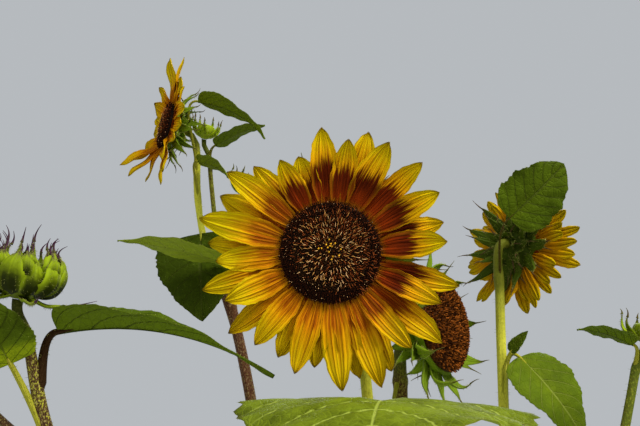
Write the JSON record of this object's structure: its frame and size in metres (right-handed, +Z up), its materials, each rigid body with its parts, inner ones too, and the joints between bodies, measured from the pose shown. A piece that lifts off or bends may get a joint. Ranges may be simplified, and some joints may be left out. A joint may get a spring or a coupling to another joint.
{
  "type": "branching sunflower plant",
  "caption": "A whole rooted sunflower: one upright stem with boughs, open two-coloured blooms, a spent seed head, closed buds and heart-shaped leaves",
  "frame": {"origin": "centre of the flat cut under the main stem, at ground level", "axes": "+Z is up, the largest bloom faces -Y, +X is to the right of a viewer who looks at that bloom"},
  "size_m": [0.6668, 0.5736, 1.8064],
  "materials": {
    "green_stem": "hairy green flower stem",
    "brown_stem": "hairy purple-brown flower stem",
    "green_leaf": "rough matt leaf",
    "pale_leaf": "rough matt leaf, lit",
    "calyx": "hairy green bracts",
    "bud": "hairy yellow-green bracts",
    "petal": "satin petal, yellow with a red-brown foot",
    "dark_disc": "dark floret disc",
    "seed_disc": "rust-brown floret disc"
  },
  "bodies": {
    "root": {"arching_leaf": "green_leaf", "broad_leaf": "pale_leaf", "bud_bough": "green_stem", "cap_leaf": "green_leaf", "crest_leaf": "green_leaf", "dark_leaf": "green_leaf", "edge_bough": "green_stem", "edge_bud": "bud", "far_bud": "bud", "far_leaf": "green_leaf", "far_stalk": "green_stem", "front_bough": "green_stem", "hanging_leaf": "green_leaf", "heart_leaf": "green_leaf", "leaf_01": "green_leaf", "leaf_02": "green_leaf", "leaf_03": "green_leaf", "leaf_04": "green_leaf", "leaf_05": "green_leaf", "leaf_06": "green_leaf", "leaf_07": "green_leaf", "leaf_08": "green_leaf", "leaf_09": "green_leaf", "leaf_10": "green_leaf", "leaf_11": "green_leaf", "leaf_12": "green_leaf", "leaf_13": "green_leaf", "leaf_14": "green_leaf", "leaf_15": "green_leaf", "leaf_16": "green_leaf", "leaf_17": "green_leaf", "leaf_18": "green_leaf", "leaf_19": "green_leaf", "leaf_20": "green_leaf", "left_bloom_calyx": "calyx", "left_bloom_disc": "dark_disc", "left_bloom_rays": "petal", "left_bough": "brown_stem", "left_bud": "bud", "left_stalk": "green_stem", "low_right_leaf": "green_leaf", "main_bloom_calyx": "calyx", "main_bloom_disc": "dark_disc", "main_bloom_rays": "petal", "main_stem": "green_stem", "pale_leaf": "pale_leaf", "rear_bud": "bud", "rear_stalk": "green_stem", "right_bloom_calyx": "calyx", "right_bloom_disc": "dark_disc", "right_bloom_rays": "petal", "right_bough": "green_stem", "seed_head_calyx": "calyx", "seed_head_disc": "seed_disc", "shade_leaf": "green_leaf", "side_bud": "bud", "side_shoot": "green_stem", "small_leaf": "green_leaf", "under_leaf": "green_leaf"}
  },
  "joints": []
}
